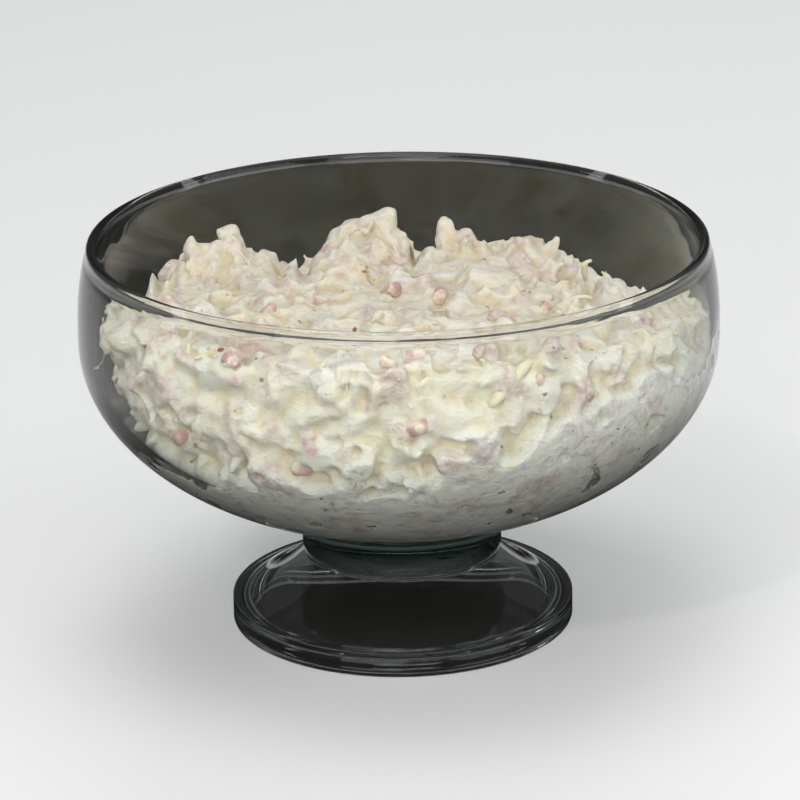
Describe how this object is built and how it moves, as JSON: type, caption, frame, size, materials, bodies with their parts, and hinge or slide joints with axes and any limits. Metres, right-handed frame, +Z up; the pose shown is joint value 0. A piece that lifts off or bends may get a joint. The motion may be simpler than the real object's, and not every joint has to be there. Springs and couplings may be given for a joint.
{
  "type": "ham salad in a glass bowl",
  "caption": "A heap of diced ham salad bound with mayonnaise, served in a clear glass bowl on a short trumpet foot with a thick disc base",
  "frame": {"origin": "middle of the underside of the foot, on the surface that the bowl stands on", "axes": "+Z up out of the bowl, -Y towards the viewer of the picture, +X to the right"},
  "size_m": [0.2302, 0.2302, 0.1447],
  "materials": {
    "clear_glass": "clear pressed glass, polished, faintly smoky where it is thick",
    "dressed_salad": "moist cream mayonnaise over pink ham and pale shreds, satin"
  },
  "bodies": {
    "root": {"glass_bowl": "clear_glass", "ham_salad": "dressed_salad"}
  },
  "joints": []
}
